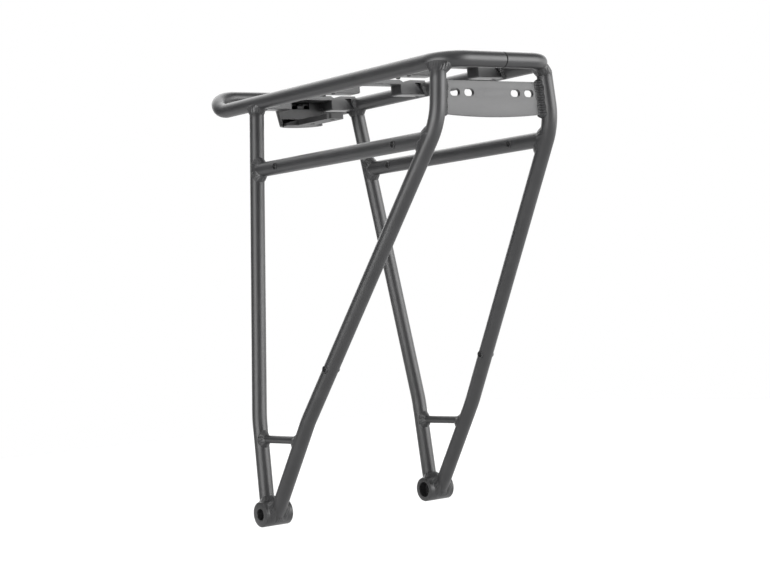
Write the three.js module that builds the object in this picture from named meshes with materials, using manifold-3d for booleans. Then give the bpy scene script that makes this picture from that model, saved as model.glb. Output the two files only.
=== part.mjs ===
// Bicycle rear rack: welded aluminium tube, three cross bars, a light plate and a spring latch.
// Millimetres. X points to the bike's right, Y forward, Z up. The origin is on the axis of the two
// mounting bolts, midway between the bosses.
import * as THREE from "three";
import { mergeVertices } from "three/addons/utils/BufferGeometryUtils.js";
import Module from "manifold-3d";

const wasm = await Module();
wasm.setup();

// ---------------------------------------------------------------- driving dimensions
const gap = 0.3; // left between pieces that touch
const tubeDiameter = 13.3; // 13 mm tube and its coat
const tubeWall = 2;
const tubeSides = 16;

const deckHeight = 370.5; // centre line of the top hoop above the bolt axis
const hoopHalfWidth = 56.5;
const hoopRear = 240; // rear cross tube behind the bolt axis
const hoopFlatFront = 125.5; // front cross tube ahead of the axis, before the front is turned up
const rearCornerRadius = 22;
const frontCornerRadius = 32;
const upturnReach = 40.5; // the upturn starts this far behind the flat front
const upturnRadius = 32;
const upturnAngle = THREE.MathUtils.degToRad(31);
const seamOffset = 3.5; // the loop is closed by a butt joint in the rear cross tube

const footHalfTrack = 93.5; // the feet of the legs
const legTopDrop = 2.5; // the legs stop this far below the centre line of the hoop
const frontLeg = { topY: 35.5, bendInset: 2.2, bendY: 14, bendZ: 84, bendRadius: 104, footY: 7.2 };
const rearLegInset = 9.5; // top of the rear legs ahead of the rear cross tube
const elbow = { splay: 4.9, drop: 50, radius: 54 }; // outward of the hoop, and below it
const rearLegBend = { inset: 1.3, y: -64, z: 82, radius: 102, footY: -7.4 };

const railDrop = 62.3; // side rails below the deck
const braceHeight = 65.5;
const braceDiameter = 7;

const bossDiameter = 22.6;
const bossLength = 28;
const bossInset = 0.8; // middle of the boss inward of the feet
const boltHole = 10.5;
const counterbore = 14.2;
const counterboreDepth = 8;

const barHeight = 13; // the cross bars
const barDepth = 15;
const barBridge = 4.2; // what is left above the arch under each bar
const archHalfWidth = 23;
const firstBarRear = 27.5; // rear face of the front bar
const barPitches = 2.5; // from that face to the rear cross tube, in pitches of the bars
const barLift = 0.5; // top of the bars above the top of the tube
const notch = { start: 22.5, bottom: 26, end: 34, depth: 1.9 }; // in the top, outward from the middle
const pocket = { inner: 38.5, width: 7.5, height: 7.2, depth: 3, drop: 2.3 }; // in the rear face
const endSlope = { start: 5.5, end: 3, drop: 2.2 }; // from the centre line of the hoop's side
const barEndInset = 1.5;

const plateThickness = 3;
const plateDrop = 15.8; // top of the plate below the deck
const plateSideDrop = 27; // height of the plate at the legs
const plateBelly = 2.6; // how far its lower edge bows down in the middle
const plateAhead = 1.5; // rear face of the plate ahead of the leg's centre line
const slotDrop = 9.8; // centre of the slots below the top of the plate
const slotLength = 10;
const slotWidth = 5.8;
const slotSpacings = [50, 80]; // centre distances of the tail-light holes

const insertFlange = 6.6;
const insertFlangeProud = 0.5;
const insertBody = 5.6;
const insertBore = 4.2;
const railInsertInsets = { front: 38, rear: 41.5 }; // from the ends of the side rails
const legInsertHeight = 126.5;

// Heights in the latch are below the top of the cross bars, and places along it ahead of the
// front bar's front face.
const latchDrop = { top: 4.5, lug: 10, shoulder: 10.5, base: 20, pivot: 14.4, catchTop: 6, lever: 26.4 };
const latchAhead = { rear: 4, pivot: 12.5, leverShoulder: -4, tongueEnd: -53 };
const dimplesAhead = [-13.5, -45.8];
const latchHalfWidth = 24;
const latchReach = 17; // rear wall to the nose of the rounded front
const latchWall = 2.2;
const latchFlare = 1.14; // top of the housing against its base
const skirtDrop = 6.2; // the rounded front carries on this far below the base
const skirtWall = 1.5;
const cheekInner = 10; // half of the opening between the cheeks
const coverThickness = 2.2;
const lugHalfSpan = 35;
const latchScrewX = 30.5;
const latchScrewShank = 3.4;
const latchScrewHead = 6.4;
const latchScrewHeadHeight = 2.2;
const latchScrewLength = 9;
const latchScrewSocket = 3;

const pinDiameter = 3;
const pinHalfLength = 15;
const saddleWidth = 3.4;
const leverThickness = 5;
const tongueHalfWidth = 9.25;
const tongueCorner = 4;
const wingGap = 0.7; // between the wings and the skirt round them
const wingSweep = 3; // the wing tips sit ahead of the shoulder
const wingTipThickness = 1.8;
const webHalfWidth = 3.6;
const webHalfDepth = 3.5;
const catchOverlap = 2.6; // the catch reaches this far over the rear wall
const dimpleDiameter = 5;
const dimpleDepth = 1.6;
const springWire = 1.2;
const springLength = 4.4;

// ---------------------------------------------------------------- materials
const powderCoat = new THREE.MeshStandardMaterial({ color: 0x4a4a4c, roughness: 0.5, metalness: 0.2 });
const platedSteel = new THREE.MeshStandardMaterial({ color: 0x34353a, roughness: 0.35, metalness: 0.9 });
const springSteel = new THREE.MeshStandardMaterial({ color: 0x9a9c9e, roughness: 0.3, metalness: 1 });
const blackPlastic = new THREE.MeshStandardMaterial({ color: 0x232425, roughness: 0.6, metalness: 0 });

// ---------------------------------------------------------------- solids from three.js geometry
function solid(geometry) {
  const bare = geometry.clone();
  bare.deleteAttribute("normal");
  bare.deleteAttribute("uv");
  const merged = mergeVertices(bare, 1e-4);
  const vertProperties = new Float32Array(merged.attributes.position.array);
  const triVerts = new Uint32Array(merged.index.array);
  return new wasm.Manifold(new wasm.Mesh({ numProp: 3, vertProperties, triVerts }));
}

function geometryOf(body) {
  const mesh = body.getMesh();
  const geometry = new THREE.BufferGeometry();
  geometry.setAttribute("position", new THREE.BufferAttribute(mesh.vertProperties, mesh.numProp));
  geometry.setIndex(new THREE.BufferAttribute(mesh.triVerts, 1));
  geometry.computeVertexNormals();
  return geometry;
}

const cut = (body, ...cutters) => cutters.reduce((left, cutter) => left.subtract(cutter), body);
const join = (first, ...others) => others.reduce((all, other) => all.add(other), first);

function box(x0, x1, y0, y1, z0, z1) {
  const geometry = new THREE.BoxGeometry(x1 - x0, y1 - y0, z1 - z0);
  return solid(geometry.translate((x0 + x1) / 2, (y0 + y1) / 2, (z0 + z1) / 2));
}

// A round bar along X, Y or Z, given by its middle.
function rod(axis, diameter, length, x, y, z, sides = 24) {
  const geometry = new THREE.CylinderGeometry(diameter / 2, diameter / 2, length, sides);
  if (axis === "x") geometry.rotateZ(Math.PI / 2);
  if (axis === "z") geometry.rotateX(Math.PI / 2);
  return solid(geometry.translate(x, y, z));
}

// ---------------------------------------------------------------- tube routes
// A route is a run of stations, each with its point and the direction of the tube there.
class TubeRoute extends THREE.Curve {
  constructor(stations) {
    super();
    this.stations = stations;
  }
  between(t, key) {
    const at = t * (this.stations.length - 1);
    const i = Math.min(Math.floor(at), this.stations.length - 2);
    return this.stations[i][key].clone().lerp(this.stations[i + 1][key], at - i);
  }
  getPoint(t) {
    return this.between(t, "point");
  }
  getTangent(t) {
    return this.between(t, "along").normalize();
  }
  getUtoTmapping(u) {
    return u;
  }
  // The point of the centre line at a height, for a route that runs down without turning back.
  atHeight(z) {
    const i = this.stations.findIndex((s, k) => k > 0 && s.point.z <= z);
    const above = this.stations[i - 1].point;
    const below = this.stations[i].point;
    return above.clone().lerp(below, (above.z - z) / (above.z - below.z));
  }
}

// Straight runs between corners, each corner bent to its own radius.
function bentRoute(corners, radii, stepsPerBend) {
  const directionTo = (i) => corners[i + 1].clone().sub(corners[i]).normalize();
  const stations = [{ point: corners[0], along: directionTo(0) }];
  for (let i = 1; i < corners.length - 1; i++) {
    const arriving = directionTo(i - 1);
    const leaving = directionTo(i);
    const turn = arriving.angleTo(leaving);
    const radius = radii[i - 1];
    const towardsCentre = leaving.clone().sub(arriving).normalize();
    const centre = corners[i].clone().addScaledVector(towardsCentre, radius / Math.cos(turn / 2));
    const axis = arriving.clone().cross(leaving).normalize();
    const start = corners[i].clone().addScaledVector(arriving, -radius * Math.tan(turn / 2));
    for (let k = 0; k <= stepsPerBend; k++) {
      const angle = (turn * k) / stepsPerBend;
      const spoke = start.clone().sub(centre).applyAxisAngle(axis, angle);
      const along = arriving.clone().applyAxisAngle(axis, angle);
      stations.push({ point: centre.clone().add(spoke), along });
    }
  }
  const last = corners.length - 1;
  stations.push({ point: corners[last], along: directionTo(last - 1) });
  return new TubeRoute(stations);
}

function circleShape(diameter, holeDiameter = 0) {
  const shape = new THREE.Shape();
  shape.absarc(0, 0, diameter / 2, 0, Math.PI * 2, false);
  if (holeDiameter > 0) {
    const hole = new THREE.Path();
    hole.absarc(0, 0, holeDiameter / 2, 0, Math.PI * 2, true);
    shape.holes.push(hole);
  }
  return shape;
}

function sweep(shape, route, sides = tubeSides) {
  const settings = { steps: route.stations.length - 1, extrudePath: route, curveSegments: sides / 2 };
  return solid(new THREE.ExtrudeGeometry(shape, settings));
}

const hollowTube = (route) => sweep(circleShape(tubeDiameter, tubeDiameter - 2 * tubeWall), route);
const tubeSpace = (route) => sweep(circleShape(tubeDiameter + 2 * gap), route);
const straight = (from, to) => bentRoute([from, to], [], 1);

// ---------------------------------------------------------------- where the tubes run
const up = (x, y, z = deckHeight) => new THREE.Vector3(x, y, z);

const upturnStart = hoopFlatFront - upturnReach;

// The front of the flat loop is turned up about a crosswise line.
function turnUp({ point, along }) {
  const past = point.y - upturnStart;
  if (past <= 0) return { point, along };
  const bend = Math.min(past / upturnRadius, upturnAngle);
  const beyond = past - bend * upturnRadius;
  const y = upturnStart + upturnRadius * Math.sin(bend) + beyond * Math.cos(bend);
  const z = point.z + upturnRadius * (1 - Math.cos(bend)) + beyond * Math.sin(bend);
  const turned = along.clone().applyAxisAngle(new THREE.Vector3(1, 0, 0), bend);
  return { point: up(point.x, y, z), along: turned };
}

// Extra stations along the two straight sides, so that the upturn has something to bend.
function splitSides(stations) {
  const out = [];
  stations.forEach((station, i) => {
    out.push(station);
    const next = stations[i + 1];
    if (!next || Math.abs(next.point.y - station.point.y) < hoopRear) return;
    const bendEnd = Math.min(upturnStart + upturnRadius * upturnAngle, hoopFlatFront - frontCornerRadius);
    const cuts = [0, 1 / 3, 2 / 3].map((s) => upturnStart + s * (bendEnd - upturnStart));
    if (next.point.y < station.point.y) cuts.reverse();
    cuts.forEach((y) => out.push({ point: up(station.point.x, y), along: station.along }));
  });
  return out;
}

const hoopCorners = [
  up(seamOffset + gap / 2, -hoopRear),
  up(hoopHalfWidth, -hoopRear),
  up(hoopHalfWidth, hoopFlatFront),
  up(-hoopHalfWidth, hoopFlatFront),
  up(-hoopHalfWidth, -hoopRear),
  up(seamOffset - gap / 2, -hoopRear),
];
const cornerRadii = [rearCornerRadius, frontCornerRadius, frontCornerRadius, rearCornerRadius];
const flatHoop = bentRoute(hoopCorners, cornerRadii, 7);
const hoopRoute = new TubeRoute(splitSides(flatHoop.stations).map(turnUp));

const legTop = deckHeight - legTopDrop;
const rearLegY = rearLegInset - hoopRear;

function frontLegRoute(side) {
  const { topY, bendInset, bendY, bendZ, bendRadius, footY } = frontLeg;
  const top = up(side * hoopHalfWidth, topY, legTop);
  const bend = up(side * (footHalfTrack - bendInset), bendY, bendZ);
  const foot = up(side * footHalfTrack, footY, 0);
  return bentRoute([top, bend, foot], [bendRadius], 3);
}

function rearLegRoute(side) {
  const top = up(side * hoopHalfWidth, rearLegY, legTop);
  const knee = up(side * (hoopHalfWidth + elbow.splay), rearLegY, deckHeight - elbow.drop);
  const bend = up(side * (footHalfTrack - rearLegBend.inset), rearLegBend.y, rearLegBend.z);
  const foot = up(side * footHalfTrack, rearLegBend.footY, 0);
  return bentRoute([top, knee, bend, foot], [elbow.radius, rearLegBend.radius], 5);
}

// ---------------------------------------------------------------- threaded inserts
const acrossTube = tubeDiameter + 2 * insertFlangeProud;

function threadedInsert(at) {
  const seat = tubeDiameter / 2 - tubeWall;
  const body = rod("x", insertBody, acrossTube, at.x, at.y, at.z, 16);
  const flangeLength = tubeDiameter / 2 + insertFlangeProud - seat;
  const flanges = [-1, 1].map((end) => {
    const middle = at.x + end * (seat + flangeLength / 2);
    return rod("x", insertFlange, flangeLength, middle, at.y, at.z, 16);
  });
  return cut(join(body, ...flanges), rod("x", insertBore, acrossTube + 2, at.x, at.y, at.z, 16));
}

const insertSpace = (at) => rod("x", insertFlange + 2 * gap, tubeDiameter * 2, at.x, at.y, at.z, 16);

// ---------------------------------------------------------------- bosses
const bossMiddle = footHalfTrack - bossInset;

function boss(side) {
  const middle = side * bossMiddle;
  const innerFace = middle - (side * bossLength) / 2;
  return cut(
    rod("x", bossDiameter, bossLength, middle, 0, 0, 32),
    rod("x", boltHole, bossLength + 2, middle, 0, 0, 24),
    rod("x", counterbore, 2 * counterboreDepth, innerFace, 0, 0, 28),
  );
}

const bossSpace = (side) => rod("x", bossDiameter + 2 * gap, bossLength, side * bossMiddle, 0, 0, 32);

// ---------------------------------------------------------------- cross bars
const barTop = deckHeight + tubeDiameter / 2 + barLift;

// Half of the bar's outline, from the middle outwards, as distances across and heights.
function barOutline() {
  const bottom = barTop - barHeight;
  const halfOutline = [
    [archHalfWidth, barTop - barBridge],
    [archHalfWidth, bottom],
    [hoopHalfWidth - barEndInset, bottom],
    [hoopHalfWidth - barEndInset, deckHeight],
    [hoopHalfWidth - endSlope.end, barTop - endSlope.drop],
    [hoopHalfWidth - endSlope.start, barTop],
    [notch.end, barTop],
    [notch.bottom, barTop - notch.depth],
    [notch.start, barTop],
  ];
  const otherHalf = halfOutline.map(([x, z]) => [-x, z]).reverse();
  return new THREE.Shape([...halfOutline, ...otherHalf].map(([x, z]) => new THREE.Vector2(x, z)));
}

function crossBar(rearFace) {
  const blank = new THREE.ExtrudeGeometry(barOutline(), { depth: barDepth, bevelEnabled: false });
  blank.rotateX(Math.PI / 2).translate(0, rearFace + barDepth, 0);
  const pockets = [-1, 1].map((side) => {
    const ends = [side * pocket.inner, side * (pocket.inner + pocket.width)].sort((a, b) => a - b);
    const top = barTop - pocket.drop;
    return box(...ends, rearFace - 1, rearFace + pocket.depth, top - pocket.height, top);
  });
  return cut(solid(blank), tubeSpace(hoopRoute), ...pockets);
}

// ---------------------------------------------------------------- light plate
const legInner = (z) => rearLegRoute(1).atHeight(z).x;

function lightPlate() {
  const plateTop = deckHeight - plateDrop;
  const slotHeight = plateTop - slotDrop;
  const bottom = plateTop - plateSideDrop;
  const topHalf = legInner(plateTop);
  const bottomHalf = legInner(bottom);
  const outline = new THREE.Shape();
  outline.moveTo(-topHalf, plateTop);
  outline.lineTo(-bottomHalf, bottom);
  outline.quadraticCurveTo(0, bottom - 2 * plateBelly, bottomHalf, bottom);
  outline.lineTo(topHalf, plateTop);
  for (const x of slotSpacings.flatMap((spacing) => [-spacing / 2, spacing / 2])) {
    const reach = (slotLength - slotWidth) / 2;
    const slot = new THREE.Path();
    slot.absarc(x + reach, slotHeight, slotWidth / 2, -Math.PI / 2, Math.PI / 2, false);
    slot.absarc(x - reach, slotHeight, slotWidth / 2, Math.PI / 2, (3 * Math.PI) / 2, false);
    outline.holes.push(slot);
  }
  const settings = { depth: plateThickness, bevelEnabled: false, curveSegments: 8 };
  const rearFace = rearLegY + plateAhead;
  const geometry = new THREE.ExtrudeGeometry(outline, settings).rotateX(Math.PI / 2);
  return solid(geometry.translate(0, rearFace + plateThickness, 0));
}

// ---------------------------------------------------------------- latch
const barFront = firstBarRear + barDepth;
const latchRear = barFront + latchAhead.rear;
const latchTop = barTop - latchDrop.top;
const latchBase = barTop - latchDrop.base;
const pivotY = barFront + latchAhead.pivot;
const pivotZ = barTop - latchDrop.pivot;
const screwHeight = barTop - (latchDrop.lug + latchDrop.top) / 2;
const lugFront = latchRear + latchWall;
const skirtBottom = latchBase - skirtDrop;
const skirtShare = 1 - ((latchFlare - 1) * skirtDrop) / (latchTop - latchBase);
const wingHalfWidth = latchHalfWidth * skirtShare - skirtWall - wingGap;
const wingNose = latchRear + latchReach * skirtShare - skirtWall - wingGap;

// A straight rear edge and a rounded front, as half an ellipse.
function roundedHead(halfWidth, rear, reach) {
  const shape = new THREE.Shape();
  shape.moveTo(-halfWidth, rear);
  shape.lineTo(halfWidth, rear);
  shape.absellipse(0, rear, halfWidth, reach, 0, Math.PI, false);
  return shape;
}

// The head drawn out upwards, its sides leaning outwards as they rise.
function flaredHead(halfWidth, rear, reach, z0, z1) {
  const settings = { depth: z1 - z0, bevelEnabled: false, curveSegments: 10 };
  const geometry = new THREE.ExtrudeGeometry(roundedHead(halfWidth, rear, reach), settings);
  const position = geometry.translate(0, 0, z0).attributes.position;
  for (let i = 0; i < position.count; i++) {
    const rise = (position.getZ(i) - latchBase) / (latchTop - latchBase);
    const grow = 1 + (latchFlare - 1) * rise;
    position.setX(i, position.getX(i) * grow);
    position.setY(i, rear + (position.getY(i) - rear) * grow);
  }
  return solid(geometry);
}

function latchHousing() {
  const floor = latchBase + latchWall;
  const lugRear = barFront + gap;
  const lugBottom = barTop - latchDrop.lug;
  const shoulder = barTop - latchDrop.shoulder;
  const above = latchTop + 1;
  const inner = latchHalfWidth - latchWall;
  const shell = flaredHead(latchHalfWidth, latchRear, latchReach, latchBase, latchTop);
  const hollow = flaredHead(inner, latchRear + latchWall, latchReach - 2 * latchWall, floor, above);
  const lug = box(-lugHalfSpan, lugHalfSpan, lugRear, lugFront, lugBottom, latchTop);
  const lugGap = box(-inner, inner, 0, lugFront, lugBottom - 1, above);
  const saddles = [-1, 1].map((side) => {
    const middle = side * (pinHalfLength - saddleWidth / 2 + 1);
    const xs = [middle - saddleWidth / 2 - 1, middle + saddleWidth / 2 + 1];
    return box(...xs, pivotY - 4, pivotY + 4, latchBase + 1, pivotZ + 4);
  });
  const skirt = flaredHead(latchHalfWidth, latchRear, latchReach, skirtBottom, latchBase + 0.5);
  const skirtInner = latchHalfWidth - skirtWall;
  const skirtReach = latchReach - skirtWall + 2;
  const skirtHollow = flaredHead(skirtInner, latchRear - 2, skirtReach, skirtBottom - 1, latchBase);
  const opening = box(-cheekInner, cheekInner, latchRear - 1, lugFront + 1, shoulder, above);
  const slotHalf = webHalfWidth + 1.2;
  const slotFront = pivotY + webHalfDepth + 1.5;
  const webSlot = box(-slotHalf, slotHalf, lugFront, slotFront, latchBase - 1, floor + 1);
  const pinSpace = rod("x", pinDiameter + 2 * gap, 2 * pinHalfLength + 2 * gap, 0, pivotY, pivotZ, 16);
  const solidParts = join(cut(shell, hollow), cut(skirt, skirtHollow), ...saddles, cut(lug, lugGap));
  return cut(solidParts, opening, webSlot, pinSpace, ...[-1, 1].map(latchScrewSpace));
}

function latchCover() {
  const settings = { depth: coverThickness, bevelEnabled: false, curveSegments: 10 };
  const underside = latchTop + gap;
  const head = roundedHead(latchHalfWidth * latchFlare, latchRear, latchReach * latchFlare);
  const roof = solid(new THREE.ExtrudeGeometry(head, settings).translate(0, 0, underside));
  const reach = [barFront + gap, latchRear + 1];
  return join(roof, box(-latchHalfWidth, latchHalfWidth, ...reach, underside, underside + coverThickness));
}

function latchScrew(side) {
  const x = side * latchScrewX;
  const seat = lugFront + gap;
  const shankLength = latchScrewLength + latchScrewHeadHeight / 2;
  const shankMiddle = seat - latchScrewLength + shankLength / 2;
  const headMiddle = seat + latchScrewHeadHeight / 2;
  const shank = rod("y", latchScrewShank, shankLength, x, shankMiddle, screwHeight, 16);
  const head = rod("y", latchScrewHead, latchScrewHeadHeight, x, headMiddle, screwHeight, 20);
  const headFront = seat + latchScrewHeadHeight;
  const socket = rod("y", latchScrewSocket, latchScrewHeadHeight, x, headFront, screwHeight, 6);
  return cut(join(shank, head), socket);
}

function latchScrewSpace(side) {
  return rod("y", latchScrewShank + 2 * gap, 26, side * latchScrewX, barFront, screwHeight, 16);
}

function releaseLever() {
  const bottom = barTop - latchDrop.lever;
  const top = bottom + leverThickness;
  const shoulder = barFront + latchAhead.leverShoulder;
  const end = barFront + latchAhead.tongueEnd;
  const wingRear = shoulder + wingSweep;

  const outline = new THREE.Shape();
  outline.moveTo(-wingHalfWidth, wingRear);
  outline.lineTo(-tongueHalfWidth, shoulder);
  outline.lineTo(-tongueHalfWidth, end + tongueCorner);
  outline.absarc(tongueCorner - tongueHalfWidth, end + tongueCorner, tongueCorner, Math.PI, 1.5 * Math.PI);
  outline.absarc(tongueHalfWidth - tongueCorner, end + tongueCorner, tongueCorner, 1.5 * Math.PI, 0);
  outline.lineTo(tongueHalfWidth, shoulder);
  outline.lineTo(wingHalfWidth, wingRear);
  outline.absellipse(0, wingRear, wingHalfWidth, wingNose - wingRear, 0, Math.PI, false);
  const settings = { depth: leverThickness, bevelEnabled: false, curveSegments: 8 };
  const paddle = solid(new THREE.ExtrudeGeometry(outline, settings).translate(0, 0, bottom));

  const slopes = [-1, 1].map((side) => {
    const tip = side * (wingHalfWidth + 2);
    const above = new THREE.Shape();
    above.moveTo(side * tongueHalfWidth, top);
    above.lineTo(tip, bottom + wingTipThickness);
    above.lineTo(tip, top + 2);
    above.lineTo(side * tongueHalfWidth, top + 2);
    const depth = wingNose - shoulder + 4;
    const wedge = new THREE.ExtrudeGeometry(above, { depth, bevelEnabled: false });
    return solid(wedge.rotateX(Math.PI / 2).translate(0, wingNose + 2, 0));
  });

  const catchTop = barTop - latchDrop.catchTop;
  const wallFace = lugFront + gap;
  const wallTop = barTop - latchDrop.shoulder + gap + 0.5;
  const profile = new THREE.Shape();
  profile.moveTo(pivotY + webHalfDepth, top - 0.5);
  profile.lineTo(pivotY + webHalfDepth, pivotZ + 2);
  profile.lineTo(pivotY - 1, catchTop);
  profile.lineTo(wallFace - catchOverlap + 1.5, catchTop);
  profile.lineTo(wallFace - catchOverlap, catchTop - 1.5);
  profile.lineTo(wallFace - catchOverlap, wallTop);
  profile.lineTo(wallFace, wallTop);
  profile.lineTo(wallFace, pivotZ);
  profile.lineTo(pivotY - webHalfDepth, pivotZ - 2);
  profile.lineTo(pivotY - webHalfDepth, top - 0.5);
  const across = new THREE.ExtrudeGeometry(profile, { depth: 2 * webHalfWidth, bevelEnabled: false });
  across.rotateX(Math.PI / 2).rotateZ(Math.PI / 2).translate(-webHalfWidth, 0, 0);

  const dimples = dimplesAhead.map((ahead) =>
    rod("z", dimpleDiameter, 2 * dimpleDepth, 0, barFront + ahead, bottom, 16),
  );
  const pinSpace = rod("x", pinDiameter + 2 * gap, 4 * webHalfWidth, 0, pivotY, pivotZ, 16);
  return cut(join(cut(paddle, ...slopes), solid(across)), pinSpace, ...dimples);
}

function leverSpring() {
  const half = springLength / 2;
  const inner = pinDiameter / 2 + gap;
  const outer = inner + springWire;
  const profile = [
    new THREE.Vector2(inner, -half),
    new THREE.Vector2(outer, -half),
    new THREE.Vector2(outer, half),
    new THREE.Vector2(inner, half),
    new THREE.Vector2(inner, -half),
  ];
  const coil = new THREE.LatheGeometry(profile, 20).rotateZ(Math.PI / 2);
  return solid(coil.translate(webHalfWidth + gap + half, pivotY, pivotZ));
}

// ---------------------------------------------------------------- the rack
const rack = new THREE.Group();

function add(name, body, material) {
  const mesh = new THREE.Mesh(geometryOf(body), material);
  mesh.name = name;
  rack.add(mesh);
}

add("top_hoop", hollowTube(hoopRoute), powderCoat);

const barPitch = (firstBarRear + hoopRear) / barPitches;
const barRears = [0, 1, 2].map((i) => firstBarRear - i * barPitch);
const frontLegSpaces = [-1, 1].map((side) => tubeSpace(frontLegRoute(side)));
["front", "middle", "rear"].forEach((place, i) => {
  const screwHoles = i === 0 ? [-1, 1].map(latchScrewSpace) : [];
  add("cross_bar_" + place, cut(crossBar(barRears[i]), ...frontLegSpaces, ...screwHoles), powderCoat);
});

for (const [name, side] of [["left", -1], ["right", 1]]) {
  const frontRoute = frontLegRoute(side);
  const rearRoute = rearLegRoute(side);
  const hoopSpace = tubeSpace(hoopRoute);
  const legInsertAt = rearRoute.atHeight(legInsertHeight);
  const rearSpace = tubeSpace(rearRoute);
  const frontSpace = tubeSpace(frontRoute);

  add("front_leg_" + name, cut(hollowTube(frontRoute), hoopSpace, bossSpace(side)), powderCoat);
  const rear = cut(hollowTube(rearRoute), hoopSpace, bossSpace(side), insertSpace(legInsertAt));
  add("rear_leg_" + name, rear, powderCoat);
  add("leg_insert_" + name, threadedInsert(legInsertAt), platedSteel);

  const railHeight = deckHeight - railDrop;
  const railEnds = [frontRoute.atHeight(railHeight), rearRoute.atHeight(railHeight)];
  const railRoute = straight(...railEnds);
  const railLength = railRoute.getLength();
  const railInserts = [railInsertInsets.front, railLength - railInsertInsets.rear].map((from) =>
    railRoute.getPoint(from / railLength),
  );
  const rail = cut(hollowTube(railRoute), rearSpace, frontSpace, ...railInserts.map(insertSpace));
  add("side_rail_" + name, rail, powderCoat);
  railInserts.forEach((at, i) => {
    add("rail_insert_" + name + (i === 0 ? "_front" : "_rear"), threadedInsert(at), platedSteel);
  });

  const braceRoute = straight(frontRoute.atHeight(braceHeight), rearRoute.atHeight(braceHeight));
  const brace = sweep(circleShape(braceDiameter), braceRoute, 12);
  add("lower_brace_" + name, cut(brace, rearSpace, frontSpace), powderCoat);

  add("axle_boss_" + name, boss(side), powderCoat);
  add("latch_screw_" + name, latchScrew(side), platedSteel);
}

const rearLegSpaces = [-1, 1].map((side) => tubeSpace(rearLegRoute(side)));
add("light_plate", cut(lightPlate(), ...rearLegSpaces), powderCoat);

add("latch_housing", latchHousing(), blackPlastic);
add("latch_cover", latchCover(), blackPlastic);
add("release_lever", releaseLever(), blackPlastic);
add("lever_pin", rod("x", pinDiameter, 2 * pinHalfLength, 0, pivotY, pivotZ, 16), platedSteel);
add("lever_spring", leverSpring(), springSteel);

export default rack;
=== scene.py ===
import math

import bmesh
import bpy
import numpy as np
from mathutils import Matrix, Quaternion, Vector


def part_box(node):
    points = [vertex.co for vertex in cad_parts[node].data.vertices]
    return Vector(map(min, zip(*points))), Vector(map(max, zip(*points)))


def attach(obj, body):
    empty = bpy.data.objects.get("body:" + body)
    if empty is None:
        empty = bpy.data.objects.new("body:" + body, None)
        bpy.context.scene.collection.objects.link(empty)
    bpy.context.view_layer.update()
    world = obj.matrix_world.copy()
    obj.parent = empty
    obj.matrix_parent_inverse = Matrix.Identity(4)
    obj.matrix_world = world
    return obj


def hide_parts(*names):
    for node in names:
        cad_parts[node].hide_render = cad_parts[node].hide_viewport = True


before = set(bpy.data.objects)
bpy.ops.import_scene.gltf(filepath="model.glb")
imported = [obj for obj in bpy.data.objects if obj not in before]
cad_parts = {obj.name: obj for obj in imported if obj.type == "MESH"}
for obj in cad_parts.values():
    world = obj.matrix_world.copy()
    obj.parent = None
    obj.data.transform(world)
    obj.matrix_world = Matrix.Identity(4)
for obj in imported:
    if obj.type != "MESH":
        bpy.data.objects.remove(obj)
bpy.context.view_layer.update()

# A bicycle's rear rack of welded aluminium tube, powder coated. Lengths are in metres, and sizes that
# are easier to read in millimetres are multiplied by MM. +X is the bike's right, +Y forward, +Z up.
MM = 0.001
RACK = "rack"
LEVER = "latch_lever"

# ------------------------------------------------------------------ sizes
hoop_low, hoop_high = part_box("top_hoop")
boss_low, boss_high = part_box("axle_boss_right")
brace_low, brace_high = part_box("lower_brace_right")
rail_low, rail_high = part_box("side_rail_right")

TUBE_RADIUS = (rail_high.z - rail_low.z) / 2
DECK = hoop_low.z + TUBE_RADIUS
HOOP_HALF = hoop_high.x - TUBE_RADIUS
HOOP_REAR = hoop_low.y + TUBE_RADIUS
HOOP_FLAT_FRONT = 125.5 * MM
REAR_CORNER = 22 * MM
FRONT_CORNER = 32 * MM
UPTURN_START = HOOP_FLAT_FRONT - 40.5 * MM
UPTURN_RADIUS = 32 * MM
UPTURN = math.radians(31)
SEAM_X = 3.5 * MM
SEAM_GAP = 0.7 * MM

FOOT_HALF = 93.5 * MM
BOSS_MIDDLE = (boss_low.x + boss_high.x) / 2
BOSS_HALF = (boss_high.x - boss_low.x) / 2
BOSS_RADIUS = boss_high.z
BRACE_RADIUS = (brace_high.z - brace_low.z) / 2
BRACE_Z = (brace_high.z + brace_low.z) / 2
RAIL_Z = (rail_low.z + rail_high.z) / 2
REAR_LEG_Y = HOOP_REAR + 9.5 * MM

BAR_HEIGHT = 13 * MM
PLATE_THICK = 3 * MM
PLATE_HEIGHT = 27 * MM
PLATE_BOW = 2.6 * MM  # how far the plate's lower edge hangs below its ends in the middle
SLOT_DROP = 9.8 * MM  # from the plate's top edge to the middle of its slots
INSERT_HOLE_RADIUS = 3.5 * MM


# ------------------------------------------------------------------ camera, light and floor
def set_camera():
    """The view from behind and to the left, a little below the deck, with the camera tipped 4 degrees."""
    data = bpy.data.cameras.new("camera")
    data.sensor_width = 36
    data.lens = 81.96
    data.clip_end = 60
    camera = bpy.data.objects.new("camera", data)
    camera.location = (-0.9482, -1.3112, 0.1804)
    looking = Vector((0.6055, 0.7958, 0.0075))
    tip = Quaternion((0, 0, 1), math.radians(-4.05))
    camera.rotation_mode = "QUATERNION"
    camera.rotation_quaternion = looking.to_track_quat("-Z", "Y") @ tip
    bpy.context.scene.collection.objects.link(camera)
    bpy.context.scene.camera = camera


def linear(code):
    """An sRGB hex colour as linear red, green, blue and alpha."""
    parts = [int(code[i : i + 2], 16) / 255 for i in (0, 2, 4)]
    return [c / 12.92 if c <= 0.04045 else ((c + 0.055) / 1.055) ** 2.4 for c in parts] + [1]


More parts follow.
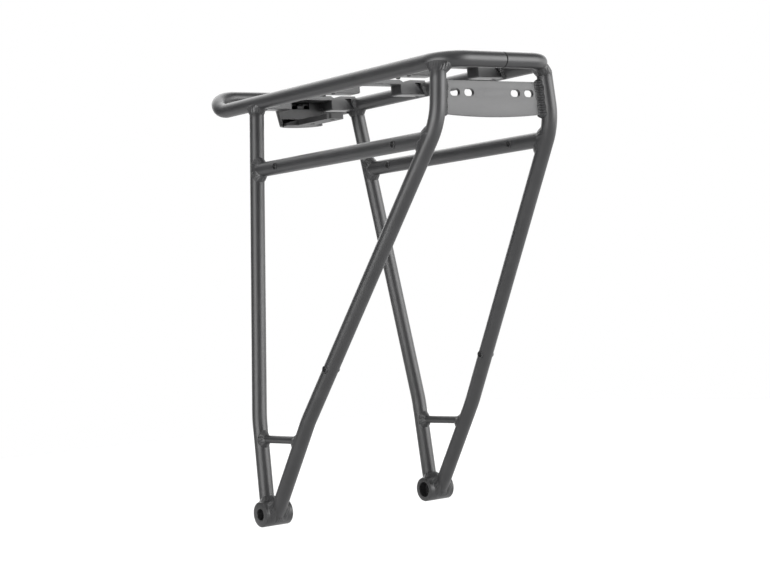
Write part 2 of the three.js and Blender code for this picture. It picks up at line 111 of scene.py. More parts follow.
def add_node(tree, kind, inputs=None, **settings):
    """One node, with its own settings, and each input given a value or linked to a socket."""
    made = tree.nodes.new(kind)
    for key, value in settings.items():
        setattr(made, key, value)
    for key, value in (inputs or {}).items():
        if isinstance(value, bpy.types.NodeSocket):
            tree.links.new(value, made.inputs[key])
        else:
            made.inputs[key].default_value = value
    return made


# Soft boxes round the rack: bearing from +X and height in degrees, half angles of the bright middle and
# of the soft edge, strength.
SOFT_BOXES = [
    (-56, 6, 14, 35, 7.8),
    (-8, 0, 10, 30, 2.2),
    (189, -2, 12, 35, 8.0),
    (58, 22, 10, 50, 3.0),
    (120, 75, 10, 60, 1.3),
]
AMBIENT = 0.04


def light_studio():
    """A white studio: soft boxes left and right and overhead, and a white backdrop."""
    world = bpy.data.worlds.new("studio")
    world.use_nodes = True
    tree = world.node_tree
    tree.nodes.clear()
    direction = add_node(tree, "ShaderNodeTexCoord").outputs["Generated"]
    total = None
    for bearing, height, inner, outer, strength in SOFT_BOXES:
        level = math.cos(math.radians(height))
        towards = (
            level * math.cos(math.radians(bearing)),
            level * math.sin(math.radians(bearing)),
            math.sin(math.radians(height)),
        )
        facing = add_node(
            tree,
            "ShaderNodeVectorMath",
            {0: direction, 1: towards},
            operation="DOT_PRODUCT",
        ).outputs["Value"]
        spread = add_node(
            tree,
            "ShaderNodeMapRange",
            {
                "Value": facing,
                "From Min": math.cos(math.radians(outer)),
                "From Max": math.cos(math.radians(inner)),
                "To Min": 0.0,
                "To Max": strength,
            },
            interpolation_type="SMOOTHSTEP",
        ).outputs["Result"]
        so_far = AMBIENT if total is None else total
        total = add_node(tree, "ShaderNodeMath", {0: so_far, 1: spread}, operation="ADD").outputs[0]
    lit = add_node(tree, "ShaderNodeBackground", {"Color": linear("FFFFFF"), "Strength": total})
    backdrop = add_node(tree, "ShaderNodeBackground", {"Color": linear("FFFFFF"), "Strength": 1.0})
    seen = add_node(tree, "ShaderNodeLightPath").outputs["Is Camera Ray"]
    mixed = add_node(
        tree,
        "ShaderNodeMixShader",
        {0: seen, 1: lit.outputs[0], 2: backdrop.outputs[0]},
    )
    add_node(tree, "ShaderNodeOutputWorld", {"Surface": mixed.outputs[0]})
    bpy.context.scene.world = world
    bpy.context.scene.view_settings.view_transform = "Standard"


def lay_floor():
    """A white sweep, lit evenly enough to hide its own horizon."""
    material = bpy.data.materials.new("white_sweep")
    material.use_nodes = True
    shader = material.node_tree.nodes["Principled BSDF"]
    shader.inputs["Base Color"].default_value = linear("989898")
    shader.inputs["Roughness"].default_value = 0.9
    shader.inputs["Emission Color"].default_value = linear("FFFFFF")
    shader.inputs["Emission Strength"].default_value = 0.62
    half = 1.4
    level = boss_low.z - 25 * MM
    corners = [(-half, -half, level), (half, -half, level), (half, half, level), (-half, half, level)]
    floor = new_piece("floor", corners, [(0, 1, 2, 3)], material)


# ------------------------------------------------------------------ materials
def surface(name, colours, metallic, roughness, grain, bump):
    """A finish with its own slow change of colour and shine and a fine grain that catches the light.

    colours are the two shades it wanders between, grain is the size of its texture and bump how far
    that stands up. The slow changes are 18 mm across.
    """
    material = bpy.data.materials.new(name)
    material.use_nodes = True
    tree = material.node_tree
    shader = tree.nodes["Principled BSDF"]
    place = add_node(tree, "ShaderNodeTexCoord").outputs["Object"]
    slow = add_node(
        tree,
        "ShaderNodeTexNoise",
        {"Vector": place, "Scale": 1 / (18 * MM), "Detail": 3.0},
    ).outputs["Fac"]
    fine = add_node(
        tree,
        "ShaderNodeTexNoise",
        {"Vector": place, "Scale": 1 / grain, "Detail": 2.0, "Roughness": 0.55},
    ).outputs["Fac"]
    blend = add_node(tree, "ShaderNodeMath", {0: slow, 1: fine}, operation="MULTIPLY")
    ramp = add_node(tree, "ShaderNodeValToRGB", {"Fac": slow})
    ramp.color_ramp.elements[0].position = 0.35
    ramp.color_ramp.elements[1].position = 0.65
    ramp.color_ramp.elements[0].color = linear(colours[0])
    ramp.color_ramp.elements[1].color = linear(colours[1])
    shine = add_node(
        tree,
        "ShaderNodeMapRange",
        {"Value": blend.outputs[0], "From Max": 0.5, "To Min": roughness[0], "To Max": roughness[1]},
    ).outputs["Result"]
    raised = add_node(
        tree,
        "ShaderNodeBump",
        {"Height": fine, "Strength": 1.0, "Distance": bump},
    ).outputs["Normal"]
    for socket, value in (("Base Color", ramp.outputs["Color"]), ("Roughness", shine), ("Normal", raised)):
        tree.links.new(value, shader.inputs[socket])
    shader.inputs["Metallic"].default_value = metallic
    return material


# ------------------------------------------------------------------ making meshes
def unit(vectors):
    """Each row, or the one vector, at length one."""
    vectors = np.asarray(vectors, float)
    return vectors / np.maximum(np.linalg.norm(vectors, axis=-1, keepdims=True), 1e-12)


def new_piece(name, points, faces, material, smooth_angle=40):
    """A mesh object from points and faces, smooth except across edges sharper than the angle."""
    mesh = bpy.data.meshes.new(name)
    mesh.from_pydata([tuple(p) for p in points], [], [tuple(f) for f in faces])
    return finish_piece(name, mesh, material, smooth_angle)


def mark_sharp(edges, smooth_angle):
    """Edges sharper than the angle in degrees stay crisp."""
    for edge in edges:
        if len(edge.link_faces) == 2:
            edge.smooth = edge.calc_face_angle() < math.radians(smooth_angle)


def finish_piece(name, mesh, material, smooth_angle=40):
    """Joins doubled points, turns the faces outwards and gives the mesh its material and object."""
    tidy = bmesh.new()
    tidy.from_mesh(mesh)
    bmesh.ops.remove_doubles(tidy, verts=tidy.verts, dist=1e-6)
    bmesh.ops.recalc_face_normals(tidy, faces=tidy.faces)
    for face in tidy.faces:
        face.smooth = True
    mark_sharp(tidy.edges, smooth_angle)
    tidy.to_mesh(mesh)
    tidy.free()
    mesh.materials.clear()
    mesh.materials.append(material)
    made = bpy.data.objects.new(name, mesh)
    bpy.context.scene.collection.objects.link(made)
    return made


def carry(piece, body, nodes=()):
    """The piece moves with the body and stands for the nodes."""
    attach(piece, body)
    if nodes:
        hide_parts(*nodes)


def apply_modifiers(piece):
    """The piece's mesh with its modifiers applied."""
    bpy.context.view_layer.update()
    evaluated = piece.evaluated_get(bpy.context.evaluated_depsgraph_get())
    mesh = bpy.data.meshes.new_from_object(evaluated)
    piece.modifiers.clear()
    piece.data = mesh


def cut_away(piece, cutters, smooth_angle=40):
    """Takes the cutters' shapes out of the piece."""
    for cutter in cutters:
        modifier = piece.modifiers.new("cut", "BOOLEAN")
        modifier.operation = "DIFFERENCE"
        modifier.solver = "EXACT"
        modifier.object = cutter
    apply_modifiers(piece)
    for cutter in cutters:
        bpy.data.objects.remove(cutter)
    mesh = piece.data
    sharpen = bmesh.new()
    sharpen.from_mesh(mesh)
    mark_sharp(sharpen.edges, smooth_angle)
    sharpen.to_mesh(mesh)
    sharpen.free()


def turned(name, profile, centre, axis, material, sides=64):
    """A turned piece: profile is a closed outline of (distance along the axis, radius)."""
    along = Vector(axis).normalized()
    across = along.orthogonal().normalized()
    third = along.cross(across)
    points = []
    for k in range(sides):
        angle = 2 * math.pi * k / sides
        out = across * math.cos(angle) + third * math.sin(angle)
        points += [Vector(centre) + along * a + out * r for a, r in profile]
    count = len(profile)
    faces = []
    for k in range(sides):
        here, there = k * count, (k + 1) % sides * count
        for i in range(count):
            j = (i + 1) % count
            faces.append((here + i, here + j, there + j, there + i))
    return new_piece(name, points, faces, material)


def from_sheet(name, outlines, thickness, edge, place, material):
    """A flat piece with rounded edges: the first outline is its rim and the others are holes."""
    curve = bpy.data.curves.new(name, "CURVE")
    curve.dimensions = "2D"
    curve.fill_mode = "BOTH"
    curve.extrude = thickness / 2 - edge
    curve.bevel_depth = edge
    curve.bevel_resolution = 2
    curve.offset = -edge
    for outline in outlines:
        spline = curve.splines.new("POLY")
        spline.points.add(len(outline) - 1)
        for point, (x, y) in zip(spline.points, outline):
            point.co = (x, y, 0, 1)
        spline.use_cyclic_u = True
    holder = bpy.data.objects.new(name + "_outline", curve)
    bpy.context.scene.collection.objects.link(holder)
    bpy.context.view_layer.update()
    evaluated = holder.evaluated_get(bpy.context.evaluated_depsgraph_get())
    mesh = bpy.data.meshes.new_from_object(evaluated)
    bpy.data.objects.remove(holder)
    mesh.transform(place)
    return finish_piece(name, mesh, material)


def arc(centre, radius, start, end, steps=12):
    """Points of an arc in a plane, from one angle in degrees to another."""
    angles = np.radians(np.linspace(start, end, steps + 1))
    return [(centre[0] + radius * math.cos(a), centre[1] + radius * math.sin(a)) for a in angles]


# ------------------------------------------------------------------ centre lines
def bent(corners, radii):
    """A centre line through the corners, each bent to its own radius."""
    corners = [np.array(c, float) for c in corners]
    line = [corners[0]]
    for before, corner, after, radius in zip(corners, corners[1:], corners[2:], radii):
        arriving = unit(corner - before)
        leaving = unit(after - corner)
        turn = math.acos(float(np.clip(arriving @ leaving, -1, 1)))
        centre = corner + unit(leaving - arriving) * radius / math.cos(turn / 2)
        spoke = corner - arriving * radius * math.tan(turn / 2) - centre
        steps = max(4, round(math.degrees(turn) / 2.5))
        for angle in np.linspace(0, turn, steps + 1):
            line.append(centre + spoke * math.cos(angle) + arriving * radius * math.sin(angle))
    line.append(corners[-1])
    return np.array(line)


def spaced(line, step):
    """The same line with points no further apart than the step."""
    out = [line[0]]
    for a, b in zip(line, line[1:]):
        parts = max(1, math.ceil(np.linalg.norm(b - a) / step))
        out += [a + (b - a) * k / parts for k in range(1, parts + 1)]
    return np.array(out)


def at_height(line, z):
    """Where a line that runs downwards passes a height."""
    heights = line[::-1, 2]
    return np.array([np.interp(z, heights, line[::-1, i]) for i in range(3)])


def turn_up(line):
    """Turns up the front of the flat loop about a crosswise line."""
    past = np.maximum(line[:, 1] - UPTURN_START, 0)
    bend = np.minimum(past / UPTURN_RADIUS, UPTURN)
    beyond = past - bend * UPTURN_RADIUS
    y = np.minimum(line[:, 1], UPTURN_START) + UPTURN_RADIUS * np.sin(bend) + beyond * np.cos(bend)
    z = line[:, 2] + UPTURN_RADIUS * (1 - np.cos(bend)) + beyond * np.sin(bend)
    return np.stack([line[:, 0], y, z], axis=1)


def hoop_line():
    """The loop from one side of its seam round to the other."""
    left, right = -HOOP_HALF, HOOP_HALF
    corners = [
        (SEAM_X + SEAM_GAP / 2, HOOP_REAR, DECK),
        (right, HOOP_REAR, DECK),
        (right, HOOP_FLAT_FRONT, DECK),
        (left, HOOP_FLAT_FRONT, DECK),
        (left, HOOP_REAR, DECK),
        (SEAM_X - SEAM_GAP / 2, HOOP_REAR, DECK),
    ]
    flat = bent(corners, [REAR_CORNER, FRONT_CORNER, FRONT_CORNER, REAR_CORNER])
    return turn_up(spaced(flat, 2 * MM))


def front_leg_line(side):
    corners = [
        (side * HOOP_HALF, 35.5 * MM, DECK),
        (side * (FOOT_HALF - 2.2 * MM), 14 * MM, 84 * MM),
        (side * FOOT_HALF, 7.2 * MM, 0),
    ]
    return bent(corners, [104 * MM])


def rear_leg_line(side):
    corners = [
        (side * HOOP_HALF, REAR_LEG_Y, DECK),
        (side * (HOOP_HALF + 4.9 * MM), REAR_LEG_Y, DECK - 50 * MM),
        (side * (FOOT_HALF - 1.3 * MM), -64 * MM, 82 * MM),
        (side * FOOT_HALF, -7.4 * MM, 0),
    ]
    return bent(corners, [54 * MM, 102 * MM])


def between_legs(side, z):
    """A straight line from the front leg to the rear leg at a height."""
    return np.array([at_height(front_leg_line(side), z), at_height(rear_leg_line(side), z)])


# ------------------------------------------------------------------ tubes and welds
class Round:
    """A round tube or bar that others are welded to."""

    def __init__(self, line, radius):
        self.line = line
        self.radius = radius

    def nearest(self, points):
        """The closest points of the centre line."""
        start, along = self.line[:-1], np.diff(self.line, axis=0)
        reach = ((points[:, None] - start) * along).sum(-1) / (along**2).sum(-1)
        spots = start + np.clip(reach, 0, 1)[..., None] * along
        distance = np.linalg.norm(points[:, None] - spots, axis=-1)
        return spots[np.arange(len(points)), distance.argmin(1)]

    def gap(self, points):
        """How far outside the surface each point is."""
        return np.linalg.norm(points - self.nearest(points), axis=1) - self.radius

    def outward(self, points):
        return unit(points - self.nearest(points))

    def onto(self, points):
        """The points moved straight on to the surface."""
        return self.nearest(points) + self.outward(points) * self.radius


def ring_frame(line):
    """Two directions across the line at each of its points, without twist."""
    ahead = np.gradient(line, axis=0)
    steps = unit(np.diff(line, axis=0))
    ahead[1:-1] = steps[:-1] + steps[1:]
    ahead[0], ahead[-1] = steps[0], steps[-1]
    ahead = unit(ahead)
    across = np.empty_like(ahead)
    helper = np.array([0, 0, 1.0]) if abs(ahead[0][2]) < 0.9 else np.array([0, 1.0, 0])
    last = unit(np.cross(ahead[0], helper))
    for i, direction in enumerate(ahead):
        last = unit(last - direction * (last @ direction))
        across[i] = last
    return across, np.cross(ahead, across)


def run_up(starts, direction, tip, neighbour, short):
    """How far each line of a tube's wall runs before it meets the neighbour.

    A line that would pass beside the neighbour stops short of its centre line.
    """
    limit = np.maximum((neighbour.nearest(tip[None])[0] - starts) @ direction - short, 0)
    travel = np.zeros(len(starts))
    for _ in range(90):
        away = neighbour.gap(starts + travel[:, None] * direction)
        travel = np.minimum(travel + np.maximum(away, 0) * 0.97, limit)
    return travel


END_RUN = 15 * MM  # the last stretch of a welded tube, whose wall runs on to its neighbour
WELD_SHORT = 0.3 * MM
LEG_TOP_SHORT = 6.0 * MM  # the tops of the legs end this far below the hoop's centre line


def tube(name, line, radius, material, joined=(None, None), sides=48, holes=(), top_short=WELD_SHORT):
    """A tube along the line, each end shaped to the neighbour it is welded to, or square and chamfered.

    holes are the middles of holes to be drilled later, and top_short is how far its first end stops
    short where it passes beside its neighbour.
    """
    line = np.array(line)
    body = line.copy()
    for end, neighbour in zip((0, -1), joined):
        if neighbour is None:
            continue
        inward = unit(body[1] - body[0]) if end == 0 else unit(body[-2] - body[-1])
        body[end] = body[end] + inward * END_RUN
    for spot in holes:
        k = int(np.argmax([(spot - a) @ (b - spot) for a, b in zip(body, body[1:])]))
        along = unit(body[k + 1] - body[k])
        extra = [spot - along * 9 * MM, spot - along * 3 * MM, spot + along * 3 * MM, spot + along * 9 * MM]
        body = np.vstack([body[: k + 1], extra, body[k + 1 :]])
    across, third = ring_frame(line)
    body_across, body_third = ring_frame(body)
    angles = np.linspace(0, 2 * math.pi, sides, endpoint=False)
    rings = []
    for point, a, b in zip(body, body_across, body_third):
        out = np.cos(angles)[:, None] * a + np.sin(angles)[:, None] * b
        rings.append(point + out * radius)
    for end, neighbour in zip((0, -1), joined):
        out = (rings[end] - body[end]) / radius
        inward = unit(line[1] - line[0]) if end == 0 else unit(line[-2] - line[-1])
        if neighbour is None:
            lip = 0.35 * MM
            rings[end] = rings[end] + inward * lip
            last = body[end] + out * (radius - lip)
        else:
            starts = rings[end]
            short = top_short if end == 0 else WELD_SHORT
            run = run_up(starts, -inward, line[end], neighbour, short)
            met = starts - (run[:, None] - 1.2 * MM) * inward
            last = starts - (run[:, None] + 0.4 * MM) * inward - out * radius * 0.2
            rings = [met] + rings if end == 0 else rings + [met]
        rings = [last] + rings if end == 0 else rings + [last]
    points = np.vstack(rings + [rings[0].mean(0)[None], rings[-1].mean(0)[None]])
    faces = []
    for k in range(len(rings) - 1):
        for i in range(sides):
            j = (i + 1) % sides
            faces.append((k * sides + i, k * sides + j, (k + 1) * sides + j, (k + 1) * sides + i))
    first, final = len(points) - 2, len(points) - 1
    top = (len(rings) - 1) * sides
    for i in range(sides):
        j = (i + 1) % sides
        faces.append((first, j, i))
        faces.append((final, top + i, top + j))
    return new_piece(name, points, faces, material)


RIPPLE = 2.1 * MM  # from one ripple of a bead to the next


def bead(name, foot, toe_a, toe_b, out_a, out_b, material, closed, crown=0.65 * MM, hollow=0.35, ribbed=0.5):
    """A weld bead in the corner between two surfaces.

    foot runs along the corner, toe_a and toe_b are where the bead ends on each surface, and out_a and
    out_b point out of them. hollow is how far it dips towards the corner, crown how far it stands up,
    and ribbed how much of that comes and goes with each ripple.
    """
    count, across = len(foot), 11
    steps = np.linalg.norm(np.diff(foot, axis=0, append=foot[:1] if closed else foot[-1:]), axis=1)
    length = steps.sum()
    run = np.concatenate([[0], np.cumsum(steps)[:-1]])
    if closed:
        phase = run / length * max(1, round(length / RIPPLE))
        taper = np.ones(count)
    else:
        phase = run / RIPPLE
        rim = 2.5 * MM
        taper = np.sqrt(np.clip(np.minimum(run, run[-1] - run) / rim, 0.02, 1))
    wobble = 1 + 0.06 * np.sin(phase * 1.7 + 0.4) + 0.05 * np.sin(phase * 0.63 + 1.1)
    reach = (taper * wobble)[:, None]
    toe_a = foot + (toe_a - foot) * reach
    toe_b = foot + (toe_b - foot) * reach
    middle = (toe_a + toe_b) / 2
    control = middle + (foot - middle) * hollow
    rows = []
    for u in np.linspace(0, 1, across):
        spot = toe_a * (1 - u) ** 2 + control * 2 * u * (1 - u) + toe_b * u**2
        rise = math.sin(math.pi * u) ** 0.7 if 0 < u < 1 else 0
        swept = phase + 0.45 * (1 - (2 * u - 1) ** 2)
        tooth = swept % 1.0
        ripple = 0.5 + 0.5 * np.cos(2 * math.pi * tooth ** 0.7)
        lift = unit(out_a * (1 - u) + out_b * u)
        height = crown * rise * taper * (1 - ribbed + 1.2 * ribbed * ripple)
        rows.append(spot + lift * height[:, None])
    sunk = 0.35 * MM
    rows[0] = rows[0] - out_a * sunk
    rows[-1] = rows[-1] - out_b * sunk
    rows.append(foot - unit(out_a + out_b) * 1.0 * MM)
    rows = np.array(rows)
    around = len(rows)
    points = rows.transpose(1, 0, 2).reshape(-1, 3)
    faces = []
    last = count if closed else count - 1
    for k in range(last):
        here, there = k * around, (k + 1) % count * around
        for i in range(around):
            j = (i + 1) % around
            faces.append((here + i, here + j, there + j, there + i))
    if not closed:
        faces.append(tuple(range(around)))
        faces.append(tuple(reversed(range((count - 1) * around, count * around))))
    return new_piece(name, points, faces, material, smooth_angle=60)


def joint_bead(name, line, end, radius, neighbour, size, material, short, sides=150):
    """The bead round a tube's end where it is welded to its neighbour."""
    tip, before = (line[0], line[1]) if end == 0 else (line[-1], line[-2])
    direction = unit(tip - before)
    across, third = ring_frame(line)
    angles = np.linspace(0, 2 * math.pi, sides, endpoint=False)
    out = np.cos(angles)[:, None] * across[end] + np.sin(angles)[:, None] * third[end]
    starts = tip - direction * END_RUN + out * radius
    foot = starts + run_up(starts, direction, tip, neighbour, short)[:, None] * direction
    out_b = neighbour.outward(foot)
    ahead = unit(np.roll(foot, -1, axis=0) - np.roll(foot, 1, axis=0))
    side = unit(np.cross(ahead, out_b))
    side *= np.where((side * out).sum(1) < 0, -1.0, 1.0)[:, None]
    toe_a = foot - direction * size
    toe_b = neighbour.onto(foot + side * size)
    return bead(name, foot, toe_a, toe_b, out, out_b, material, closed=True)


# ------------------------------------------------------------------ the welded frame
def make_frame(coat):
    hoop = Round(hoop_line(), TUBE_RADIUS)
    carry(tube("hoop_tube", hoop.line, TUBE_RADIUS, coat), RACK, ["top_hoop"])
    for name, side in (("left", -1), ("right", 1)):
        boss_axis = np.array([(side * (BOSS_MIDDLE + end * BOSS_HALF), 0, 0) for end in (-1, 1)])
        boss = Round(boss_axis, BOSS_RADIUS)
        front = Round(front_leg_line(side), TUBE_RADIUS)
        rear = Round(rear_leg_line(side), TUBE_RADIUS)
        rail = between_legs(side, RAIL_Z)
        brace = between_legs(side, BRACE_Z)

        front_tube = tube(
            "front_leg_tube_" + name, front.line, TUBE_RADIUS, coat, (hoop, boss), top_short=LEG_TOP_SHORT
        )
        carry(front_tube, RACK, ["front_leg_" + name])
        leg_insert = "leg_insert_" + name
        rear_hole = middle_of(leg_insert)
        rear_tube = tube(
            "rear_leg_tube_" + name,
            rear.line,
            TUBE_RADIUS,
            coat,
            (hoop, boss),
            holes=[rear_hole],
            top_short=LEG_TOP_SHORT,
        )
        drill(rear_tube, [rear_hole])
        carry(rear_tube, RACK, ["rear_leg_" + name])

        rail_inserts = ["rail_insert_" + name + end for end in ("_front", "_rear")]
        rail_holes = [middle_of(n) for n in rail_inserts]
        rail_tube = tube("rail_tube_" + name, rail, TUBE_RADIUS, coat, (front, rear), holes=rail_holes)
        drill(rail_tube, rail_holes)
        carry(rail_tube, RACK, ["side_rail_" + name])
        brace_bar = tube("brace_bar_" + name, brace, BRACE_RADIUS, coat, (front, rear), sides=32)
        carry(brace_bar, RACK, ["lower_brace_" + name])
        for node in [leg_insert, *rail_inserts]:
            make_insert(node, coat)
        make_boss(name, side, coat)

        for label, line, end, radius, neighbour, size in (
            ("front_leg_top", front.line, 0, TUBE_RADIUS, hoop, 4.6 * MM),
            ("rear_leg_top", rear.line, 0, TUBE_RADIUS, hoop, 4.6 * MM),
            ("front_leg_foot", front.line, -1, TUBE_RADIUS, boss, 4.6 * MM),
            ("rear_leg_foot", rear.line, -1, TUBE_RADIUS, boss, 4.6 * MM),
            ("rail_front", rail, 0, TUBE_RADIUS, front, 5.2 * MM),
            ("rail_rear", rail, -1, TUBE_RADIUS, rear, 5.2 * MM),
            ("brace_front", brace, 0, BRACE_RADIUS, front, 4.4 * MM),
            ("brace_rear", brace, -1, BRACE_RADIUS, rear, 4.4 * MM),
        ):
            short = LEG_TOP_SHORT if neighbour is hoop else WELD_SHORT
            title = "weld_" + label + "_" + name
            weld = joint_bead(title, line, end, radius, neighbour, size, coat, short)
            carry(weld, RACK)
        for face, way in (("rear", -1), ("front", 1)):
            weld = plate_bead("weld_plate_" + face + "_" + name, rear, side, way, coat)
            carry(weld, RACK)


def middle_of(node):
    low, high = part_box(node)
    return np.array((low + high) / 2)


def drill(piece, spots):
    """A hole through both walls, along X, at each spot."""
    cutters = []
    half = 12 * MM
    ring = [(-half, 0), (-half, INSERT_HOLE_RADIUS), (half, INSERT_HOLE_RADIUS), (half, 0)]
    for spot in spots:
        cutters.append(turned("cutter", ring, spot, (1, 0, 0), None, sides=32))
    cut_away(piece, cutters)


def make_insert(node, coat):
    """A threaded insert pulled into both walls of a tube: a thin flange, a rounded lip and a thread."""
    low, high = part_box(node)
    half = (high.x - low.x) / 2
    flange, bore, body = (high.z - low.z) / 2, 2.1 * MM, 2.7 * MM
    pitch, depth = 0.8 * MM, 0.35 * MM
    seat = half - 1.4 * MM
    outer = [
        (-half, bore + 0.2 * MM),
        (-half, flange - 0.35 * MM),
        (-half + 0.12 * MM, flange - 0.1 * MM),
        (-half + 0.4 * MM, flange),
        (-seat, flange),
        (-seat, body),
        (seat, body),
        (seat, flange),
        (half - 0.4 * MM, flange),
        (half - 0.12 * MM, flange - 0.1 * MM),
        (half, flange - 0.35 * MM),
        (half, bore + 0.2 * MM),
    ]
    thread = []
    along = half - 0.5 * MM
    turns = int(2 * along / pitch)
    for k in range(turns):
        at = along - k * pitch
        thread += [(at, bore), (at - pitch / 2, bore + depth)]
    thread.append((-along, bore))
    piece = turned(node + "_sleeve", outer + thread, tuple((low + high) / 2), (1, 0, 0), coat, sides=40)
    carry(piece, RACK, [node])


def make_boss(name, side, coat):
    """The turned boss: chamfered rims, a through bore and a counterbore in its inner face."""
    half, radius = BOSS_HALF, BOSS_RADIUS
    bore, sink, depth = 5.25 * MM, 7.1 * MM, 8 * MM
    rim, lip = 0.9 * MM, 0.4 * MM
    profile = [
        (-half, sink + lip),
        (-half, radius - rim),
        (-half + 0.3 * rim, radius - 0.3 * rim),
        (-half + rim, radius),
        (half - rim, radius),
        (half - 0.3 * rim, radius - 0.3 * rim),
        (half, radius - rim),
        (half, bore + lip),
        (half - lip, bore),
        (-half + depth, bore),
        (-half + depth, sink),
        (-half + lip, sink),
    ]
    centre = (side * BOSS_MIDDLE, 0, 0)
    piece = turned("boss_turning_" + name, profile, centre, (side, 0, 0), coat, sides=72)
    carry(piece, RACK, ["axle_boss_" + name])


# ------------------------------------------------------------------ light plate
plate_low, plate_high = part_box("light_plate")


def make_plate(coat):
    """The tail-light plate, bowed along its lower edge, with two slots at each end."""
    top = plate_high.z
    bottom = top - PLATE_HEIGHT
    reach = {z: at_height(rear_leg_line(1), z)[0] - TUBE_RADIUS + 1.5 * MM for z in (top, bottom)}
    end = reach[bottom]
    lower = [(x, bottom - PLATE_BOW * (1 - (x / end) ** 2)) for x in np.linspace(-1, 1, 41) * end]
    outlines = [lower + [(reach[top], top), (-reach[top], top)]]
    slot_z = top - SLOT_DROP
    half_width, straight = 2.9 * MM, 2.1 * MM
    for x in (-40, -25, 25, 40):
        right = arc((x * MM + straight, slot_z), half_width, -90, 90)
        left = arc((x * MM - straight, slot_z), half_width, 90, 270)
        outlines.append(right + left)
    middle = (plate_low.y + plate_high.y) / 2
    upright = Matrix.Translation((0, middle, 0)) @ Matrix.Rotation(math.pi / 2, 4, "X")
    piece = from_sheet("tail_light_plate", outlines, PLATE_THICK, 0.25 * MM, upright, coat)
    carry(piece, RACK, ["light_plate"])


def plate_bead(name, leg, side, way, material):
    """The rippled bead down one face of the plate, where it meets the leg."""
    face = plate_low.y if way < 0 else plate_high.y
    top, bottom = plate_high.z + 2.5 * MM, plate_high.z - PLATE_HEIGHT - 3 * MM
    heights = np.arange(bottom, top, 0.3 * MM)
    centres = np.array([at_height(leg.line, z) for z in heights])
    off = face - centres[:, 1]
    inner = np.sqrt(leg.radius**2 - off**2)
    foot = np.stack([centres[:, 0] - side * inner, np.full(len(heights), face), heights], axis=1)
    out_a = np.tile([0.0, float(way), 0.0], (len(foot), 1))
    out_b = leg.outward(foot)
    toe_a = foot + np.array([-side * 5.0 * MM, 0, 0])
    toe_b = leg.onto(foot + out_a * 4.8 * MM)
    shape = {"crown": 1.2 * MM, "hollow": 0.15, "ribbed": 0.85}
    return bead(name, foot, toe_a, toe_b, out_a, out_b, material, closed=False, **shape)


# ------------------------------------------------------------------ cross bars
# The groove in a bar's top edge: distance from the middle and depth, in millimetres.
NOTCH = [(22.5, 0.0), (26.0, 1.9), (34.0, 0.0)]


def bar_outline(top):
    """The bar's outline across the rack, from the arch in the middle outwards and back over the top."""
    bottom = top - BAR_HEIGHT
    arch, bridge, corner = 23 * MM, 4.2 * MM, 0.8 * MM
    bite = TUBE_RADIUS - 0.3 * MM
    low_angle = -math.degrees(math.asin((DECK - bottom) / bite)) if DECK - bottom < bite else -75
    high_angle = 46
    half = [(arch, top - bridge), (arch, bottom + corner), (arch + corner, bottom)]
    scoop = arc((HOOP_HALF, DECK), bite, 180 - low_angle, 180 - high_angle, 14)
    half += [*scoop, (HOOP_HALF - 5.5 * MM, top)]
    half += [(x * MM, top - drop * MM) for x, drop in reversed(NOTCH)]
    return half + [(-x, z) for x, z in reversed(half)]


def pocket_cutter(side, face, top):
    """The pocket in the rear face: three-cornered, deepest at its outer top corner."""
    inner, outer, bottom = side * 38.5 * MM, side * 46 * MM, top - 7.2 * MM
    front = face - 0.3 * MM
    corners = [
        (inner, front, top),
        (outer, front, top),
        (outer, front, bottom),
        (inner, face + 0.2 * MM, top),
        (outer, face + 3 * MM, top),
        (outer, face + 0.2 * MM, bottom),
    ]
    faces = [(0, 1, 2), (3, 5, 4), (0, 3, 4, 1), (1, 4, 5, 2), (2, 5, 3, 0)]
    return new_piece("cutter", corners, faces, None)


def make_bars(coat):
    for place in ("front", "middle", "rear"):
        low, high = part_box("cross_bar_" + place)
        middle = (low.y + high.y) / 2
        upright = Matrix.Translation((0, middle, 0)) @ Matrix.Rotation(math.pi / 2, 4, "X")
        bar = from_sheet("bar_" + place, [bar_outline(high.z)], high.y - low.y, 0.4 * MM, upright, coat)
        cutters = [pocket_cutter(side, low.y, high.z - 2.3 * MM) for side in (-1, 1)]
        cut_away(bar, cutters, smooth_angle=35)
        carry(bar, RACK, ["cross_bar_" + place])
        for name, side in (("left", -1), ("right", 1)):
            for face, way, y in (("rear", -1, low.y), ("front", 1, high.y)):
                label = "weld_bar_" + place + "_" + face + "_" + name
                carry(bar_bead(label, side, way, y, coat), RACK)


def bar_bead(name, side, way, y, material):
    """The bead up one face of a bar's end, round the inside of the hoop's tube."""
    angles = np.radians(np.linspace(-72, 48, 60))
    out_b = np.stack([-side * np.cos(angles), np.zeros(60), np.sin(angles)], axis=1)
    axis = np.array([side * HOOP_HALF, y, DECK])
    foot = axis + out_b * TUBE_RADIUS
    out_a = np.tile([0.0, float(way), 0.0], (60, 1))
    toe_a = foot + out_b * 2.4 * MM
    toe_b = foot + out_a * 2.4 * MM
    return bead(name, foot, toe_a, toe_b, out_a, out_b, material, closed=False, crown=0.4 * MM)


# ------------------------------------------------------------------ latch
def dress_node(node, material):
    """A carried-over solid gets its material."""
    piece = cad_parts[node]
    piece.data.materials.clear()
    piece.data.materials.append(material)


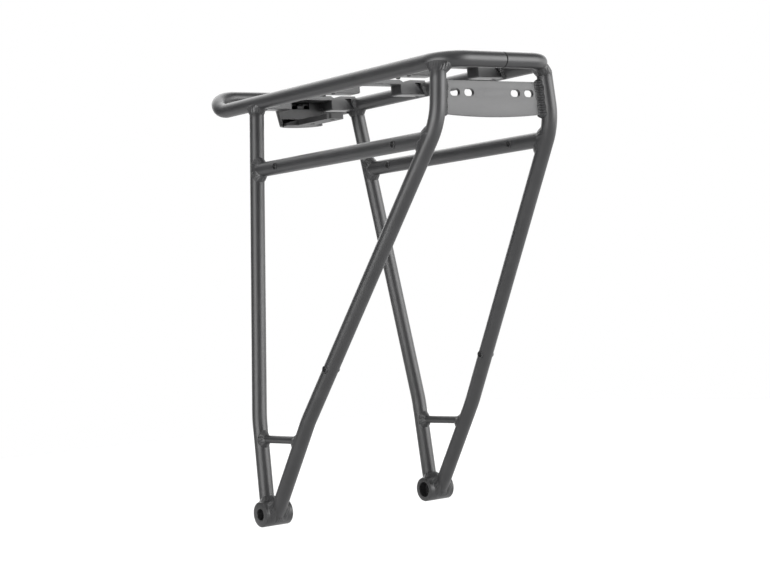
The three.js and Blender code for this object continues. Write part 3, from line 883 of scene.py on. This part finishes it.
def make_latch(nylon, zinc, wire):
    for node in ("latch_housing", "latch_cover", "release_lever"):
        dress_node(node, nylon)
    for node in ("lever_pin", "latch_screw_left", "latch_screw_right"):
        dress_node(node, zinc)
    make_spring(wire)


def make_spring(wire):
    """The lever's torsion spring: close coils round the pin, one leg on the floor and one on the lever."""
    low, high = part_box("lever_spring")
    middle_y, middle_z = (low.y + high.y) / 2, (low.z + high.z) / 2
    thickness = 1.1 * MM
    turn_radius = (high.z - low.z) / 2 - thickness / 2
    turns = 3.25
    angles = np.linspace(0, 2 * math.pi * turns, 105) - math.pi / 2
    x = np.linspace(low.x + thickness / 2, high.x - thickness / 2, len(angles))
    y = middle_y + turn_radius * np.cos(angles)
    z = middle_z + turn_radius * np.sin(angles)
    coil = np.stack([x, y, z], axis=1)
    floor_leg = coil[0] + np.array([0, -4.5 * MM, 0.2 * MM])
    lever_leg = coil[-1] + np.array([0, 0, 4.5 * MM])
    line = np.vstack([floor_leg, coil, lever_leg])
    carry(tube("spring_coil", line, thickness / 2, wire, sides=12), RACK, ["lever_spring"])


# ------------------------------------------------------------------ assembly
set_camera()
light_studio()
lay_floor()

# Powder-coated aluminium: polyester powder baked to a satin film, so highlights are broad and soft,
# edges are slightly rounded over and a faint orange peel breaks up the reflections.
powder_coat = surface(
    "satin_powder_coat_on_aluminium", ("252526", "2A2A2B"), 0.0, (0.36, 0.46), 1.4 * MM, 0.012 * MM
)
# Glass-filled nylon, injection moulded against a spark-eroded tool: matt and slightly mottled.
nylon = surface("moulded_glass_filled_nylon", ("161617", "1C1C1D"), 0.0, (0.46, 0.60), 0.9 * MM, 0.02 * MM)
# Steel with black zinc plating: dark metal with a thin, slightly uneven shine.
zinc = surface("black_zinc_plated_steel", ("2A2B2E", "37383C"), 0.9, (0.28, 0.40), 0.7 * MM, 0.004 * MM)
# Drawn spring wire: bright metal, finely streaked by the die.
wire = surface("drawn_spring_wire", ("8A8B8C", "A5A6A8"), 1.0, (0.22, 0.32), 0.5 * MM, 0.003 * MM)

make_frame(powder_coat)
make_plate(powder_coat)
make_bars(powder_coat)
make_latch(nylon, zinc, wire)
